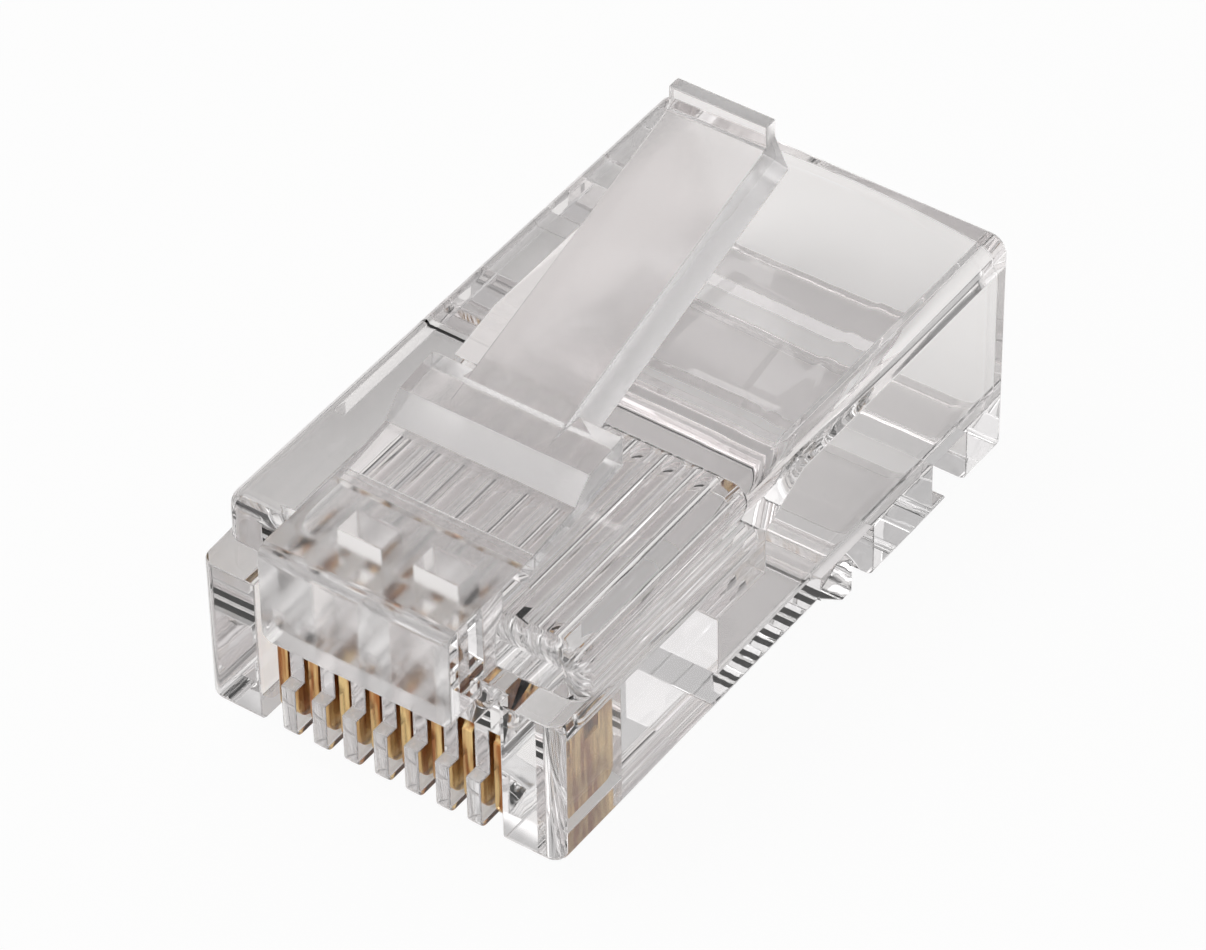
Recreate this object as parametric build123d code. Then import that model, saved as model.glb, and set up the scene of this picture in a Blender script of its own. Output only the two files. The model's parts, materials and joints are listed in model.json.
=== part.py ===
"""Eight-position modular plug in clear polycarbonate, uncrimped, with its gold-plated contacts.

The pieces are drawn in the plug's datum frame: x across the plug, y = 0 at the front faces of
the two corner posts and growing towards the cable end, z = 0 at the sole of the contact end and
growing towards the latch side. Each finished piece is then shifted to the row frame, which has
its origin at the bottom centre of the whole plug's box. All lengths are in millimetres.
"""
from build123d import *
import math
import os

# Outer body
body_width = 11.68
body_length = 21.77
body_height = 6.60
long_edge_radius = 0.55
rear_drop = 1.12
rear_part_start = 15.10
rear_edge_radius = 0.15
sole_edge_radius = 0.25

# Front end: corner posts, ledge between them and the face above them
post_width = 1.84
post_drop = 1.55
post_edge_radius = 0.45
front_face_setback = 1.13
ledge_setback = 0.44
divider_foot_height = 1.75

# Contact slots and their dividers
contact_count = 8
contact_pitch = 1.02
contact_thickness = 0.35
slot_side_clearance = 0.10
slot_roof_height = 3.33

# Contact blades, as they stand before crimping
blade_front = 0.49
blade_length = 3.20
blade_foot = 0.03
blade_shoulder = 2.30
blade_tip = 3.20
blade_front_radius = 0.60
blade_rear_radius = 0.40
tine_count = 3
tine_width = 0.62
blade_end_clearance = 0.05

# Wire channels
channel_diameter = 0.92
channel_axis_height = 3.71
channel_front = 1.72
channel_rear = 10.16

# Cable cavity
cavity_width = 9.60
roof_wall = 0.80
rear_floor_wall = 1.00
front_floor_wall = 0.60
roof_arch_radius = 17.0
cavity_corner_radius = 1.20
ramp_length = 3.23
underchannel_front = 7.90
underchannel_roof = 2.68

# Strain relief: a bar on a thin web, in a window through the sole and both sides
window_front = 12.46
window_roof = 0.80
bar_depth = 1.05
bar_slope_end = 13.74
bar_rear = 14.23
bar_top = 0.15
bar_heel_height = 0.62
web_thickness = 0.30
bar_end_inset = 0.12

# Window near the rear, through the sole and both sides, with a thin flap at its front edge
rear_window_front = 18.15
rear_window_length = 1.75
rear_window_roof = 0.75
flap_length = 0.72
flap_thickness = 0.19

# Nose that carries the latch, and the two wells that keep its walls even
nose_width = 6.20
nose_reach = 0.88
nose_bottom = 4.27
nose_top_radius = 0.40
nose_corner_radius = 0.35
nose_root = 2.70
well_inner = 0.50
well_outer = 1.98
well_front = 1.10
well_rear = 2.03

# Latch
plate_gap = 0.47
plate_thickness = 0.50
hinge_from_front = 2.95
step_foot = 4.82
step_rise = 0.67
plate_climb = 0.26
shoulder_length = 1.52
shoulder_climb = 0.22
shoulder_thickness = 1.05
lever_top_width = 3.20
lever_base_width = 4.10
lever_start = 5.70
lever_slope = 17.5
lever_tip = 16.42
lever_thickness = 0.95
lip_height = 0.60
lip_length = 0.45

# Values that follow from the ones above
slot_width = contact_thickness + 2 * slot_side_clearance
slot_rear = blade_front + blade_length + blade_end_clearance
post_inner = body_width / 2 - post_width
cavity_roof = body_height - roof_wall
channel_roof = channel_axis_height + channel_diameter / 2
ramp_end = channel_rear + ramp_length
rear_sole = -rear_drop
rear_window_rear = rear_window_front + rear_window_length
post_height = body_height - post_drop
hinge_height = body_height + plate_gap
plate_top = hinge_height + plate_thickness
step_top = step_foot + step_rise
step_foot_height = plate_top + plate_climb
step_top_height = step_foot_height + step_rise
shoulder_rear = step_top + shoulder_length
shoulder_top = step_top_height + shoulder_climb
lever_angle = math.radians(lever_slope)
lever_run = lever_tip - lever_start
lever_tip_height = step_top_height + math.tan(lever_angle) * lever_run
lip_front_height = lever_tip_height - math.tan(lever_angle) * lip_length
plug_front = -nose_reach
flush = 1e-3
row_shift = Pos(0, -(plug_front + body_length) / 2, rear_drop)
contact_places = [contact_pitch * (i - (contact_count - 1) / 2) for i in range(contact_count)]


def across(points, width, x=0.0):
    """A prism across the plug: a closed outline of (y, z) points, as wide as stated, centred at x."""
    outline = make_face(Polyline(*points, close=True))
    return Pos(x, 0, 0) * extrude(Plane.YZ * outline, width / 2, both=True)


def block(x_low, x_high, y_low, y_high, z_low, z_high):
    """A block between two corners."""
    centre = Pos((x_low + x_high) / 2, (y_low + y_high) / 2, (z_low + z_high) / 2)
    return centre * Box(x_high - x_low, y_high - y_low, z_high - z_low)


def edges_at(solid, axis, **places):
    """The straight edges along one axis whose middles lie at the places given for x, y or z."""
    found = []
    for edge in solid.edges().filter_by(axis):
        middle = edge.position_at(0.5)
        if all(abs(abs(getattr(middle, name.upper())) - abs(value)) < flush for name, value in places.items()):
            found.append(edge)
    return found


def outer_body():
    """The plug's envelope: front part, lower rear part, stepped and rounded front."""
    half = body_width / 2
    outline = [
        (0, 0),
        (rear_part_start, 0),
        (rear_part_start, rear_sole),
        (body_length, rear_sole),
        (body_length, body_height),
        (front_face_setback, body_height),
        (front_face_setback, post_height),
        (0, post_height),
    ]
    body = across(outline, body_width)
    rounded = edges_at(body, Axis.Y, x=half, z=body_height)
    rounded += edges_at(body, Axis.X, y=front_face_setback, z=body_height)
    rounded += edges_at(body, Axis.Z, x=half, y=front_face_setback)
    body = fillet(rounded, long_edge_radius)
    body = fillet(edges_at(body, Axis.Z, x=half, y=0), post_edge_radius)
    front_sole = [edge for edge in body.edges() if abs(edge.position_at(0.5).Z) < flush]
    front_sole = [edge for edge in front_sole if edge.position_at(0.5).Y < rear_part_start - flush]
    body = fillet(front_sole, sole_edge_radius)
    body = fillet(edges_at(body, Axis.Y, x=half, z=rear_sole), sole_edge_radius)
    rear_face = body.faces().sort_by(Axis.Y)[-1]
    return fillet(rear_face.edges(), rear_edge_radius)


def contact_slots():
    """The slots that the blades stand in, open at the sole and the front."""
    slots = []
    for x in contact_places:
        slots.append(block(x - slot_width / 2, x + slot_width / 2, -1, slot_rear, -1, slot_roof_height))
    outer = contact_places[-1]
    for side in (-1, 1):
        ends = sorted((side * outer, side * post_inner))
        slots.append(block(ends[0], ends[1], -1, slot_rear, -1, slot_roof_height))
    return slots


def front_recess():
    """The space over the dividers' feet, between the posts."""
    return block(-post_inner, post_inner, -1, ledge_setback, divider_foot_height, post_height + 1)


def wire_channels():
    """One round channel over each slot, with a ball-shaped front end and an open rear end."""
    radius = channel_diameter / 2
    start = channel_front + radius
    length = channel_rear + radius - start
    channels = []
    for x in contact_places:
        bore = Pos(x, start + length / 2, channel_axis_height) * Rot(90, 0, 0) * Cylinder(radius, length)
        channels.append(bore + Pos(x, start, channel_axis_height) * Sphere(radius))
    return channels


def nose_wells():
    """Two wells that rise from the contact slots into the nose, one on each side of the middle."""
    wells = []
    for side in (-1, 1):
        ends = sorted((side * well_inner, side * well_outer))
        wells.append(block(ends[0], ends[1], well_front, well_rear, slot_roof_height, hinge_height))
    return wells


def cable_cavity():
    """The hollow for the cable: an arched roof with round corners, ramped down to the channels."""
    half = cavity_width / 2
    floor = rear_sole + rear_floor_wall
    sag = roof_arch_radius - math.sqrt(roof_arch_radius**2 - half**2)
    corners = [(-half, floor), (half, floor), (half, cavity_roof - sag)]
    walls = Polyline((-half, cavity_roof - sag), *corners)
    roof = ThreePointArc((half, cavity_roof - sag), (0, cavity_roof), (-half, cavity_roof - sag))
    section = make_face(Curve() + [walls, roof])
    section = fillet(section.vertices(), cavity_corner_radius)
    tube = extrude(Plane.XZ * section, -(body_length + 1))
    reach = [
        (channel_rear, underchannel_roof),
        (channel_rear, channel_roof),
        (ramp_end, cavity_roof),
        (body_length + 1, cavity_roof),
        (body_length + 1, floor),
        (window_front, floor),
        (window_front, front_floor_wall),
        (underchannel_front, front_floor_wall),
        (underchannel_front, underchannel_roof),
    ]
    return tube & across(reach, cavity_width)


def strain_relief_window():
    """The window behind the front part's sole, open downwards and to both sides."""
    half = body_width / 2 + 1
    return block(-half, half, window_front, rear_part_start, rear_sole - 1, window_roof)


def strain_relief_bar():
    """The bar that crimping pushes up against the cable's jacket, on its thin web."""
    outline = [
        (window_front, 0),
        (bar_slope_end, -bar_depth),
        (bar_rear, -bar_depth),
        (bar_rear, bar_top),
        (bar_slope_end - web_thickness, bar_heel_height),
        (window_front + web_thickness, web_thickness),
        (window_front, web_thickness),
    ]
    return across(outline, body_width - 2 * bar_end_inset)


def rear_window():
    """The window behind the strain relief, less the thin flap that closes part of its mouth."""
    half = body_width / 2 + 1
    mouth = block(-half, half, rear_window_front, rear_window_rear, rear_sole - 1, rear_window_roof)
    flap_rear = rear_window_front + flap_length
    return mouth - block(-half, half, rear_window_front, flap_rear, rear_sole - 2, rear_sole + flap_thickness)


def nose():
    """The nose at the front, with the root of the latch plate on top of it."""
    overlap = front_face_setback + long_edge_radius
    outline = [
        (plug_front, nose_bottom),
        (plug_front, plate_top),
        (hinge_from_front, plate_top),
        (hinge_from_front, hinge_height),
        (nose_root, hinge_height),
        (nose_root, body_height - long_edge_radius),
        (overlap, body_height - long_edge_radius),
        (overlap, nose_bottom),
    ]
    piece = across(outline, nose_width)
    piece = fillet(edges_at(piece, Axis.X, y=plug_front, z=plate_top), nose_top_radius)
    return fillet(edges_at(piece, Axis.Y, x=nose_width / 2, z=nose_bottom), nose_corner_radius)


def housing():
    """The clear moulding without its flexing latch."""
    body = outer_body() - front_recess()
    body += nose()
    body -= contact_slots()
    body -= nose_wells()
    body -= wire_channels()
    body -= cable_cavity()
    body -= strain_relief_window()
    body -= rear_window()
    return body + strain_relief_bar()


def latch():
    """The flexing part of the latch: plate, locking shoulders, lever and thumb lip."""
    plate = across(
        [
            (hinge_from_front, hinge_height),
            (hinge_from_front, plate_top),
            (step_foot, step_foot_height),
            (step_top, step_top_height),
            (shoulder_rear, shoulder_top),
            (shoulder_rear, shoulder_top - shoulder_thickness),
            (step_foot, step_foot_height - plate_thickness),
        ],
        nose_width,
    )
    top = lever_top_width / 2
    base = lever_base_width / 2
    base_height = step_top_height - lever_thickness
    section = [(-base, base_height), (-top, step_top_height), (top, step_top_height), (base, base_height)]
    corners = [(x, lever_start, z) for x, z in section]
    climb = (0, math.cos(lever_angle), math.sin(lever_angle))
    lever = extrude(make_face(Polyline(*corners, close=True)), lever_run / math.cos(lever_angle), dir=climb)
    lip = across(
        [
            (lever_tip - lip_length, lip_front_height - lip_height),
            (lever_tip - lip_length, lever_tip_height + lip_height),
            (lever_tip, lever_tip_height + lip_height),
            (lever_tip, lip_front_height - lip_height),
        ],
        lever_top_width,
    )
    return plate + lever + lip


def contact(x):
    """One contact blade: a round-cornered plate with pointed tines towards the wire."""
    rear = blade_front + blade_length
    gap = (blade_length - tine_count * tine_width) / (tine_count - 1)
    points = [(blade_front, blade_foot)]
    for i in range(tine_count):
        start = blade_front + i * (tine_width + gap)
        points.append((start, blade_tip - tine_width / 2))
        points.append((start + tine_width / 2, blade_tip))
        points.append((start + tine_width, blade_tip - tine_width / 2))
        if i < tine_count - 1:
            points.append((start + tine_width, blade_shoulder))
            points.append((start + tine_width + gap, blade_shoulder))
    points.append((rear, blade_foot))
    blade = across(points, contact_thickness, x)
    blade = fillet(edges_at(blade, Axis.X, y=blade_front, z=blade_foot), blade_front_radius)
    return fillet(edges_at(blade, Axis.X, y=rear, z=blade_foot), blade_rear_radius)


os.makedirs("parts", exist_ok=True)
export_step(row_shift * housing(), "parts/housing.step")
export_step(row_shift * latch(), "parts/latch.step")
for number, place in enumerate(contact_places, start=1):
    export_step(row_shift * contact(place), f"parts/contact_{number}.step")
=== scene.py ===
import json
import logging
import math
from dataclasses import dataclass
from enum import Enum, IntEnum

import bpy
from mathutils import Matrix, Vector


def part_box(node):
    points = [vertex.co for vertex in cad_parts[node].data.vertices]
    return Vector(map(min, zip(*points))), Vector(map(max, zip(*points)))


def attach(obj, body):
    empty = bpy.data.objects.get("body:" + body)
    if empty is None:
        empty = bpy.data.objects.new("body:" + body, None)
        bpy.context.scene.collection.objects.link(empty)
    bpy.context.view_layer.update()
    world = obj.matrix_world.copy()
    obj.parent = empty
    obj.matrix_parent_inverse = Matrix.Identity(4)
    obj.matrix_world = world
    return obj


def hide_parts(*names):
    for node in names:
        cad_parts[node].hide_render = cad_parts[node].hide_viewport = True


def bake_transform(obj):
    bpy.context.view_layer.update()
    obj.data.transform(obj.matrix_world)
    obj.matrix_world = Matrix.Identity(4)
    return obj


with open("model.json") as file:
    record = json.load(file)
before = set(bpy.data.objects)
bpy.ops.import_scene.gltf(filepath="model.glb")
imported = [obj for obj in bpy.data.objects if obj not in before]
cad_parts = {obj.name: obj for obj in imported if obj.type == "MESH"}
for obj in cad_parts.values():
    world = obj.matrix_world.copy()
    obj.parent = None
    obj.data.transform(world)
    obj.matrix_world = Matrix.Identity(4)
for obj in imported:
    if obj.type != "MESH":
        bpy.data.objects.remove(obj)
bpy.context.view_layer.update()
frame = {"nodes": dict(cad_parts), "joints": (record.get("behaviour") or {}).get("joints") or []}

LOG = logging.getLogger("plug")
MM = 0.001


def linear(hex_colour: str) -> tuple[float, float, float, float]:
    """Turn an sRGB hex colour into linear light.

    Args:
        hex_colour: the colour as "#RRGGBB".

    Returns:
        Red, green, blue and an alpha of 1.
    """
    values = []
    for start in (1, 3, 5):
        share = int(hex_colour[start:start + 2], 16) / 255
        values.append(share / 12.92 if share <= 0.04045 else ((share + 0.055) / 1.055) ** 2.4)
    return (values[0], values[1], values[2], 1.0)


def add_node(tree: bpy.types.NodeTree, kind: str, settings: dict | None = None,
             **links: object) -> bpy.types.Node:
    """Add one node with its settings, its socket values and its links.

    Args:
        tree: the node tree that gets the node.
        kind: the node's type name.
        settings: properties of the node itself, such as its operation.
        links: a value or an output socket for each input, by its name, or by an i and its number.

    Returns:
        The new node.
    """
    node = tree.nodes.new(kind)
    for name, value in (settings or {}).items():
        setattr(node, name, value)
    for name, value in links.items():
        numbered = name[0] == "i" and name[1:].isdigit()
        socket = node.inputs[int(name[1:])] if numbered else node.inputs[name.replace("_", " ")]
        if isinstance(value, bpy.types.NodeSocket):
            tree.links.new(value, socket)
        else:
            socket.default_value = value
    return node


def fresh_material(name: str) -> bpy.types.Material:
    """Start a material with an empty node tree.

    Args:
        name: the material's name.

    Returns:
        The new material.
    """
    made = bpy.data.materials.new(name)
    made.use_nodes = True
    made.node_tree.nodes.clear()
    return made


class ToolSurface(Enum):
    """How the mould's steel was finished: its roughness and its grain's depth in millimetres."""

    POLISHED = (0.012, 0.0)   # water clear: every inner face shows
    SATIN = (0.20, 0.0008)    # milky: what lies behind is seen without its edges
    SPARKED = (0.42, 0.006)   # white and even, as on the latch's step


class Finish(IntEnum):
    """The place of each finish in a skin's list of materials."""

    CLEAR = 0
    INSIDE = 1
    SATIN = 2
    SPARKED = 3


@dataclass(frozen=True)
class ClearPolycarbonate:
    """Injection-moulded polycarbonate.

    It gives the eye a water-clear body whose inner faces show as mirrors and bright edges.
    """

    surface: ToolSurface = ToolSurface.POLISHED
    tint: str = "#F9F7F7"
    ior: float = 1.585
    flow_width_mm: float = 2.2
    flow_depth_mm: float = 0.0035
    grain_width_mm: float = 0.11

    def material(self) -> bpy.types.Material:
        """Build the material: slow waves that the melt's flow leaves, under the tool's grain.

        Returns:
            The plastic as this surface of the mould leaves it.
        """
        roughness, grain_depth_mm = self.surface.value
        made = fresh_material(f"{self.surface.name.lower()}_polycarbonate")
        tree = made.node_tree
        place = add_node(tree, "ShaderNodeTexCoord")
        waves = add_node(tree, "ShaderNodeTexNoise", Vector=place.outputs["Object"],
                         Scale=1 / (self.flow_width_mm * MM), Detail=1.0, Roughness=0.4)
        relief = add_node(tree, "ShaderNodeBump", Strength=1.0, Distance=self.flow_depth_mm * MM,
                          Height=waves.outputs["Fac"])
        if grain_depth_mm > 0:
            grain = add_node(tree, "ShaderNodeTexNoise", Vector=place.outputs["Object"],
                             Scale=1 / (self.grain_width_mm * MM), Detail=2.0, Roughness=0.6)
            relief = add_node(tree, "ShaderNodeBump", Strength=1.0, Distance=grain_depth_mm * MM,
                              Height=grain.outputs["Fac"], Normal=relief.outputs[0])
        shader = add_node(tree, "ShaderNodeBsdfPrincipled", Base_Color=linear(self.tint),
                          Roughness=roughness, IOR=self.ior, Transmission_Weight=1.0,
                          Normal=relief.outputs[0])
        add_node(tree, "ShaderNodeOutputMaterial", Surface=shader.outputs["BSDF"])
        return made


@dataclass(frozen=True)
class MouldingInterior:
    """The plane inside the moulding where its bending part is modelled apart: it can't be seen."""

    name: str = "moulding_interior"

    def material(self) -> bpy.types.Material:
        """Build the material: light passes straight on, as it does inside one piece of plastic.

        Returns:
            The unseen plane's material.
        """
        made = fresh_material(self.name)
        clear = add_node(made.node_tree, "ShaderNodeBsdfTransparent", Color=(1, 1, 1, 1))
        add_node(made.node_tree, "ShaderNodeOutputMaterial", Surface=clear.outputs[0])
        return made


@dataclass(frozen=True)
class GoldPlating:
    """Hard gold over nickel on stamped phosphor bronze.

    It gives the eye a pale, warm and slightly soft mirror with upright streaks.
    """

    name: str = "gold_plated_bronze"
    colour: str = "#E8C98F"
    # Painted shade: the gold's darker brown tone as it looks in shade between the dividers, laid in
    # random patches.
    shaded_brown: str = "#A96C3E"
    roughness: float = 0.24
    # Wider than the real streaks, which are too fine to show in the render.
    streak_mm: float = 0.30
    streak_length: float = 8.0
    streak_depth_mm: float = 0.004
    # The range of the streaks' noise over which the gold goes over into its painted shade.
    shade_from: float = 0.42
    shade_to: float = 0.62

    def material(self) -> bpy.types.Material:
        """Build the material: upright streaks of stamping, with painted shade in random patches of
        a darker brown copy of the gold.

        Returns:
            The blades' material.
        """
        made = fresh_material(self.name)
        tree = made.node_tree
        place = add_node(tree, "ShaderNodeTexCoord")
        drawn = add_node(tree, "ShaderNodeMapping", Vector=place.outputs["Object"],
                         Scale=(1.0, 1.0, 1.0 / self.streak_length))
        streaks = add_node(tree, "ShaderNodeTexNoise", Vector=drawn.outputs[0],
                           Scale=1 / (self.streak_mm * MM), Detail=2.0, Roughness=0.55)
        spread = add_node(tree, "ShaderNodeMapRange", Value=streaks.outputs["Fac"],
                          From_Min=self.shade_from, From_Max=self.shade_to, To_Min=0.0, To_Max=1.0)
        # Painted shade: the pale gold is mixed into its darker brown shaded tone by the streaks'
        # noise.
        colour = add_node(tree, "ShaderNodeMix", {"data_type": "RGBA"}, i0=spread.outputs[0],
                          i6=linear(self.colour), i7=linear(self.shaded_brown))
        relief = add_node(tree, "ShaderNodeBump", Strength=1.0, Distance=self.streak_depth_mm * MM,
                          Height=streaks.outputs["Fac"])
        shader = add_node(tree, "ShaderNodeBsdfPrincipled", Base_Color=colour.outputs[2],
                          Roughness=self.roughness, Metallic=1.0, Normal=relief.outputs[0])
        add_node(tree, "ShaderNodeOutputMaterial", Surface=shader.outputs["BSDF"])
        return made


@dataclass
class RoundedSkin:
    """A copy of a solid's surface with the small edge radii of the real tool, finished smooth."""

    node: str
    slot: str
    edge_radius_mm: float = 0.04
    segments: int = 2
    sharp_from_deg: float = 33.0
    smooth_within_deg: float = 50.0
    flats_weight: int = 100
    weld_mm: float = 0.001
    flat_within_deg: float = 0.5

    def copy(self) -> bpy.types.Object:
        """Copy the node's surface, joined at its seams, with flat areas made single faces.

        Returns:
            The copy, which is the active object.
        """
        skin = bpy.data.objects.new(f"{self.node}_skin", frame["nodes"][self.node].data.copy())
        bpy.context.collection.objects.link(skin)
        bpy.ops.object.select_all(action="DESELECT")
        skin.select_set(True)
        bpy.context.view_layer.objects.active = skin
        self.join_flats()
        return skin

    def join_flats(self) -> None:
        """Weld the active skin's seams and make each flat area one face."""
        bpy.ops.object.mode_set(mode="EDIT")
        bpy.ops.mesh.select_all(action="SELECT")
        bpy.ops.mesh.remove_doubles(threshold=self.weld_mm * MM)
        bpy.ops.mesh.dissolve_limited(angle_limit=math.radians(self.flat_within_deg))
        bpy.ops.object.mode_set(mode="OBJECT")

    def round_edges(self, skin: bpy.types.Object) -> None:
        """Give the sharp edges their small radius and keep the flats beside them even.

        Args:
            skin: the skin, which is the active object.
        """
        rounding = skin.modifiers.new("edge_radius", "BEVEL")
        rounding.width = self.edge_radius_mm * MM
        rounding.segments = self.segments
        rounding.use_clamp_overlap = False
        rounding.loop_slide = False
        rounding.limit_method = "ANGLE"
        rounding.angle_limit = math.radians(self.sharp_from_deg)
        bpy.ops.object.modifier_apply(modifier=rounding.name)
        self.hold_in_box(skin)
        bpy.ops.object.shade_smooth_by_angle(angle=math.radians(self.smooth_within_deg))
        settle = skin.modifiers.new("settle_flats", "WEIGHTED_NORMAL")
        settle.weight = self.flats_weight
        settle.keep_sharp = True
        bpy.ops.object.modifier_apply(modifier=settle.name)

    def hold_in_box(self, skin: bpy.types.Object) -> None:
        """Move points that a radius has thrown out of the solid's box back onto its side.

        Args:
            skin: the skin with its edge radii.
        """
        lowest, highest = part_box(self.node)
        for vertex in skin.data.vertices:
            vertex.co = [min(max(at, low), high)
                         for at, low, high in zip(vertex.co, lowest, highest)]

    def build(self, *finishes: bpy.types.Material) -> bpy.types.Object:
        """Build the finished skin in its node's place.

        Args:
            finishes: the materials, the first of them for the whole surface.

        Returns:
            The skin, which replaces its node.
        """
        skin = self.copy()
        self.round_edges(skin)
        skin.data.materials.clear()
        for finish in finishes:
            skin.data.materials.append(finish)
        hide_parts(self.node)
        LOG.info("%s: %d faces", skin.name, len(skin.data.polygons))
        return skin


@dataclass
class HousingSkin(RoundedSkin):
    """The housing's skin, with the cable hollow's upper corners crisp where the solid rounds them.

    The sizes are those of the hollow's section in the solid, in the frame's axes.
    """

    half_width_mm: float = 4.8
    corner_radius_mm: float = 1.2
    arch_radius_mm: float = 17.0
    arch_top_mm: float = 6.92
    ramp_foot_mm: tuple[float, float] = (-0.285, 5.29)
    ramp_slope: float = 1.63 / 3.23
    near_mm: float = 0.03
    snap_mm: float = 0.25
    beside_mm: float = 0.3
    over_mm: float = 0.01

    def square_corners(self, skin: bpy.types.Object) -> None:
        """Move the points of the two rounded upper corners out to where the wall meets the arch.

        Each point goes straight out from its corner's centre, to the wall or to the arch,
        whichever is nearer. Points that end close to the corner are put into it.

        Args:
            skin: the housing's skin, still without edge radii.
        """
        radius, arch_radius = self.corner_radius_mm, self.arch_radius_mm
        centre_x = self.half_width_mm - radius
        arch_z = self.arch_top_mm - arch_radius
        rise = math.sqrt((arch_radius - radius) ** 2 - centre_x ** 2)
        centre_z = arch_z + rise
        corner_z = arch_z + math.sqrt(arch_radius ** 2 - self.half_width_mm ** 2)
        foot_y, foot_z = self.ramp_foot_mm
        moved = 0
        for vertex in skin.data.vertices:
            x, y, z = abs(vertex.co.x) / MM, vertex.co.y / MM, vertex.co.z / MM
            across, above = x - centre_x, z - centre_z
            on_arc = abs(math.hypot(across, above) - radius) < self.near_mm
            if not on_arc or across < self.beside_mm or above < self.over_mm:
                continue
            half = (centre_x * across + rise * above) / radius ** 2
            rest = (centre_x ** 2 + rise ** 2 - arch_radius ** 2) / radius ** 2
            stretch = min(radius / across, math.sqrt(half ** 2 - rest) - half)
            new_x, new_z = centre_x + stretch * across, centre_z + stretch * above
            if math.hypot(new_x - self.half_width_mm, new_z - corner_z) < self.snap_mm:
                new_x, new_z = self.half_width_mm, corner_z
            if abs(z - foot_z - self.ramp_slope * (y - foot_y)) < self.near_mm:
                vertex.co.y += (new_z - z) / self.ramp_slope * MM
            vertex.co.x = math.copysign(new_x, vertex.co.x) * MM
            vertex.co.z = new_z * MM
            moved += 1
        LOG.info("%s: %d corner points moved", skin.name, moved)

    def copy(self) -> bpy.types.Object:
        """Copy the node's surface and square the hollow's upper corners.

        Returns:
            The copy, which is the active object.
        """
        skin = super().copy()
        self.square_corners(skin)
        self.join_flats()
        return skin


@dataclass(frozen=True)
class SoftLamp:
    """One square soft lamp: where it hangs and its side, in metres, and its power in watts."""

    name: str
    place: tuple[float, float, float]
    size: float
    power: float
    target: tuple[float, float, float] = (0.0, 0.0, 0.005)

    def hang(self) -> None:
        """Hang the lamp in its place, turned to its target."""
        data = bpy.data.lights.new(self.name, "AREA")
        data.size = self.size
        data.energy = self.power
        lamp = bpy.data.objects.new(self.name, data)
        bpy.context.collection.objects.link(lamp)
        lamp.location = self.place
        towards = Vector(self.target) - Vector(self.place)
        lamp.rotation_euler = towards.to_track_quat("-Z", "Y").to_euler()


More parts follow.
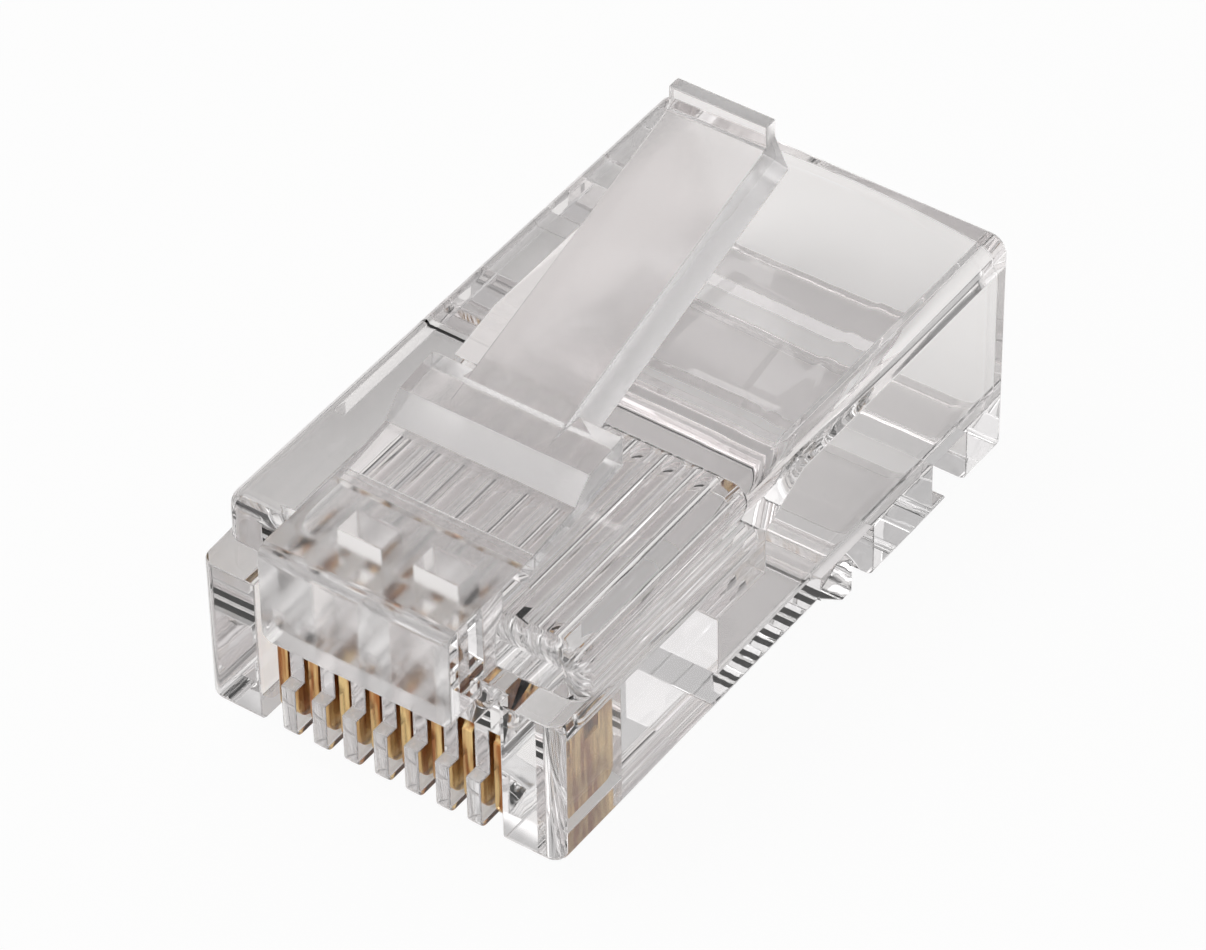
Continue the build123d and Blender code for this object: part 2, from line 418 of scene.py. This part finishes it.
@dataclass
class Studio:
    """The pale floor, the room as the plastic mirrors it, and two soft lamps.

    Each band gives the room's brightness at places around the object, from 0 at the back through
    0.25 on the left and 0.5 at the front. A fade is where one band goes over into the next, in
    degrees above the floor.
    """

    floor_half: float = 0.6
    floor_drop: float = 0.00002
    floor_white: str = "#F3F2F0"
    seen_share: float = 0.95
    floor_glow: float = 0.30
    brightest: float = 1.6
    overhead: float = 0.25
    low_band: tuple = ((0.0, 1.10), (0.062, 1.50), (0.100, 1.40), (0.122, 0.0), (0.235, 0.0),
                       (0.312, 0.62), (0.438, 1.05), (0.562, 0.95), (0.688, 0.57), (0.812, 0.20),
                       (0.938, 0.65), (1.0, 1.10))
    middle_band: tuple = ((0.0, 0.54), (0.062, 0.54), (0.188, 0.56), (0.312, 0.42), (0.438, 0.60),
                          (0.562, 0.58), (0.688, 0.30), (0.812, 0.45), (0.938, 0.54), (1.0, 0.54))
    high_band: tuple = ((0.0, 0.70), (0.097, 0.86), (0.347, 0.98), (0.450, 0.90), (0.530, 0.25),
                        (0.900, 0.25), (1.0, 0.70))
    middle_fade: tuple[float, float] = (18.0, 32.0)
    high_fade: tuple[float, float] = (42.0, 54.0)
    overhead_fade: tuple[float, float] = (66.0, 76.0)

    def floor(self) -> None:
        """Lay the floor: white paper to the eye, with a light trace of the object's shadow."""
        bpy.ops.object.select_all(action="DESELECT")
        bpy.ops.mesh.primitive_plane_add(size=2 * self.floor_half,
                                         location=(0, 0, -self.floor_drop))
        ground = bpy.context.object
        ground.name = "studio_floor"
        ground.data.transform(Matrix.Translation(ground.location))
        ground.location = (0, 0, 0)
        made = fresh_material("studio_paper")
        tree = made.node_tree
        path = add_node(tree, "ShaderNodeLightPath")
        through = add_node(tree, "ShaderNodeMath", {"operation": "MAXIMUM"},
                           i0=path.outputs["Is Transmission Ray"], i1=path.outputs["Is Glossy Ray"])
        glow = add_node(tree, "ShaderNodeMath", {"operation": "MULTIPLY"},
                        i0=through.outputs[0], i1=self.floor_glow)
        seen = add_node(tree, "ShaderNodeMath", {"operation": "MULTIPLY"},
                        i0=path.outputs["Is Camera Ray"], i1=self.seen_share)
        paper = add_node(tree, "ShaderNodeBsdfDiffuse", Color=linear(self.floor_white))
        white = add_node(tree, "ShaderNodeEmission", Color=(1, 1, 1, 1), Strength=1.0)
        both = add_node(tree, "ShaderNodeMixShader", i0=seen.outputs[0], i1=paper.outputs[0],
                        i2=white.outputs[0])
        lifted = add_node(tree, "ShaderNodeEmission", Color=(1, 1, 1, 1), Strength=glow.outputs[0])
        total = add_node(tree, "ShaderNodeAddShader", i0=both.outputs[0], i1=lifted.outputs[0])
        add_node(tree, "ShaderNodeOutputMaterial", Surface=total.outputs[0])
        ground.data.materials.append(made)

    def band(self, tree: bpy.types.NodeTree, around: bpy.types.NodeSocket,
             levels: tuple) -> bpy.types.NodeSocket:
        """Add one band of the room.

        Args:
            tree: the room's node tree.
            around: the place around the object, from 0 to 1.
            levels: pairs of a place around and the brightness there.

        Returns:
            The band's brightness, as a share of the brightest.
        """
        ramp = add_node(tree, "ShaderNodeValToRGB", i0=around)
        ramp.color_ramp.interpolation = "EASE"
        stops = ramp.color_ramp.elements
        for position, level in levels:
            stop = stops.new(position) if 0 < position < 1 else stops[0 if position == 0 else -1]
            share = level / self.brightest
            stop.color = (share, share, share, 1.0)
        return ramp.outputs[0]

    def surroundings(self) -> None:
        """Make the room: bright low behind and high on the left, dark over the camera."""
        world = bpy.data.worlds.new("studio_room")
        bpy.context.scene.world = world
        world.use_nodes = True
        tree = world.node_tree
        tree.nodes.clear()
        place = add_node(tree, "ShaderNodeTexCoord")
        axes = add_node(tree, "ShaderNodeSeparateXYZ", i0=place.outputs["Generated"])
        front = add_node(tree, "ShaderNodeMath", {"operation": "MULTIPLY"}, i0=axes.outputs["Y"],
                         i1=-1.0)
        turn = add_node(tree, "ShaderNodeMath", {"operation": "ARCTAN2"}, i0=axes.outputs["X"],
                        i1=front.outputs[0])
        around = add_node(tree, "ShaderNodeMapRange", Value=turn.outputs[0], From_Min=-math.pi,
                          From_Max=math.pi, To_Min=0.0, To_Max=1.0).outputs[0]
        climb = add_node(tree, "ShaderNodeMath", {"operation": "ARCSINE"}, i0=axes.outputs["Z"])
        dark = self.overhead / self.brightest
        white = 1.0 / self.brightest
        room = self.band(tree, around, self.low_band)
        for levels, fade in ((self.middle_band, self.middle_fade), (self.high_band, self.high_fade),
                             (None, self.overhead_fade)):
            foot, head = (math.radians(angle) for angle in fade)
            share = add_node(tree, "ShaderNodeMapRange", {"interpolation_type": "SMOOTHSTEP"},
                             Value=climb.outputs[0], From_Min=foot, From_Max=head)
            upper = self.band(tree, around, levels) if levels else (dark, dark, dark, 1.0)
            room = add_node(tree, "ShaderNodeMix", {"data_type": "RGBA"}, i0=share.outputs[0],
                            i6=room, i7=upper).outputs[2]
        path = add_node(tree, "ShaderNodeLightPath")
        shown = add_node(tree, "ShaderNodeMix", {"data_type": "RGBA"},
                         i0=path.outputs["Is Camera Ray"], i6=room, i7=(white, white, white, 1.0))
        back = add_node(tree, "ShaderNodeBackground", Color=shown.outputs[2],
                        Strength=self.brightest)
        add_node(tree, "ShaderNodeOutputWorld", Surface=back.outputs[0])

    def build(self) -> None:
        """Set up the whole studio."""
        self.floor()
        self.surroundings()
        SoftLamp("soft_front", (-0.13, -0.20, 0.18), size=0.30, power=0.10).hang()
        SoftLamp("soft_high", (-0.122, -0.071, 0.265), size=0.15, power=0.12).hang()
        LOG.info("studio built")


@dataclass(frozen=True)
class Viewpoint:
    """The photograph's camera, solved from the plug's outline.

    Angles are in degrees, lengths in millimetres, and the nearest and farthest view in metres.
    The solve had its zero at the front of the part's underside, and the two shifts bring it into
    the frame.
    """

    azimuth: float = 35.6138
    elevation: float = 42.1795
    roll: float = -0.9255
    focal_px: float = 6338.65
    frame_px: float = 1206.0
    across: float = -5.9246
    above: float = -8.1793
    distance: float = 169.6677
    shift_back: float = 10.445
    shift_up: float = 1.12
    sensor_mm: float = 36.0
    nearest: float = 0.005
    farthest: float = 20.0

    def build(self) -> None:
        """Place the camera."""
        turn, rise, roll = (math.radians(a) for a in (self.azimuth, self.elevation, self.roll))
        back = Vector((math.sin(turn) * math.cos(rise), -math.cos(turn) * math.cos(rise),
                       math.sin(rise)))
        level = (-back).cross(Vector((0, 0, 1))).normalized()
        upright = level.cross(-back)
        right = level * math.cos(roll) + upright * math.sin(roll)
        up = upright * math.cos(roll) - level * math.sin(roll)
        centre = -(self.across * right + self.above * up - self.distance * back)
        centre += Vector((0, -self.shift_back, self.shift_up))
        data = bpy.data.cameras.new("photo_view")
        data.sensor_width = self.sensor_mm
        data.lens = self.focal_px / self.frame_px * self.sensor_mm
        data.clip_start = self.nearest
        data.clip_end = self.farthest
        camera = bpy.data.objects.new("photo_view", data)
        bpy.context.collection.objects.link(camera)
        facing = Matrix((right, up, back)).transposed().to_4x4()
        camera.matrix_world = Matrix.Translation(centre * MM) @ facing
        bpy.context.scene.camera = camera


@dataclass
class Moulding:
    """The clear moulding: its box body and its latch, drawn as one piece; on the real part the
    latch bends at the hinge.

    The facet is the locking step's sloped front, at these distances behind the hinge.
    """

    hinge_reach_mm: float = 1.5
    interface_within_mm: float = 0.02
    nose_round_mm: float = 0.42
    nose_foot_mm: float = 5.4
    facet_front_mm: float = 1.87
    facet_rear_mm: float = 2.54
    faces_out: float = 0.05
    faces_up: float = 0.9
    slopes_up: float = 0.5

    def hinge(self) -> Vector:
        """Give the hinge's place, in metres."""
        return Vector(frame["joints"][0]["pos_m"])

    def open_interface(self, skin: bpy.types.Object) -> None:
        """Give the faces in the hinge plane the finish that lets light pass straight on.

        Args:
            skin: the housing's or the latch's skin.
        """
        hinge = self.hinge()
        within = self.interface_within_mm * MM
        found = 0
        for face in skin.data.polygons:
            in_plane = all(abs(skin.data.vertices[i].co.y - hinge.y) < within
                           for i in face.vertices)
            if in_plane and face.center.z > hinge.z - 2 * within:
                face.material_index = Finish.INSIDE
                found += 1
        LOG.info("%s: %d interface faces", skin.name, found)

    def dress_housing(self, skin: bpy.types.Object) -> None:
        """Give the nose's front, its top and the round between them their satin.

        Args:
            skin: the housing's skin.
        """
        front = min(vertex.co.y for vertex in skin.data.vertices)
        top = max(vertex.co.z for vertex in skin.data.vertices)
        for face in skin.data.polygons:
            outward = face.normal.z > self.faces_out or face.normal.y < -self.faces_out
            at_front = (face.center.y - front < self.nose_round_mm * MM
                        and face.center.z > self.nose_foot_mm * MM)
            at_top = (top - face.center.z < self.interface_within_mm * MM
                      and face.normal.z > self.faces_up)
            if (outward and at_front) or at_top:
                face.material_index = Finish.SATIN

    def dress_latch(self, skin: bpy.types.Object) -> None:
        """Give the locking step its sparked grain, and the lever its satin top and underside.

        Args:
            skin: the latch's skin.
        """
        hinge = self.hinge().y
        for face in skin.data.polygons:
            behind = (face.center.y - hinge) / MM
            on_facet = self.facet_front_mm < behind < self.facet_rear_mm
            if on_facet and face.normal.z > self.slopes_up:
                face.material_index = Finish.SPARKED
            elif behind > self.facet_rear_mm and abs(face.normal.z) > self.faces_up:
                face.material_index = Finish.SATIN

    def build(self) -> None:
        """Build and dress both skins."""
        clear = ClearPolycarbonate().material()
        inside = MouldingInterior().material()
        sparked = ClearPolycarbonate(surface=ToolSurface.SPARKED).material()
        satin = ClearPolycarbonate(surface=ToolSurface.SATIN).material()
        body = HousingSkin("housing", "clear_polycarbonate").build(clear, inside, satin)
        self.open_interface(body)
        self.dress_housing(body)
        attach(body, "housing")
        latch = RoundedSkin("latch", "clear_polycarbonate").build(clear, inside, satin, sparked)
        self.open_interface(latch)
        self.dress_latch(latch)
        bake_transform(latch)


@dataclass
class ContactRow:
    """The eight stamped blades."""

    count: int = 8
    edge_radius_mm: float = 0.03

    def build(self) -> None:
        """Build and dress every blade."""
        gold = GoldPlating().material()
        for number in range(1, self.count + 1):
            name = f"contact_{number}"
            skin = RoundedSkin(name, "gold_plated_contact", edge_radius_mm=self.edge_radius_mm)
            blade = skin.build(gold)
            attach(blade, "housing")


def main() -> None:
    """Build the scene piece by piece."""
    logging.basicConfig(level=logging.INFO, format="%(message)s")
    scene = bpy.context.scene
    scene.view_settings.view_transform = "Standard"
    # Enough bounces for light to come out again between all the inner faces of a clear moulding.
    scene.cycles.max_bounces = 32
    scene.cycles.transmission_bounces = 32
    scene.cycles.glossy_bounces = 16
    scene.cycles.transparent_max_bounces = 32
    Viewpoint().build()
    Studio().build()
    Moulding().build()
    ContactRow().build()


if __name__ == "__main__":
    main()
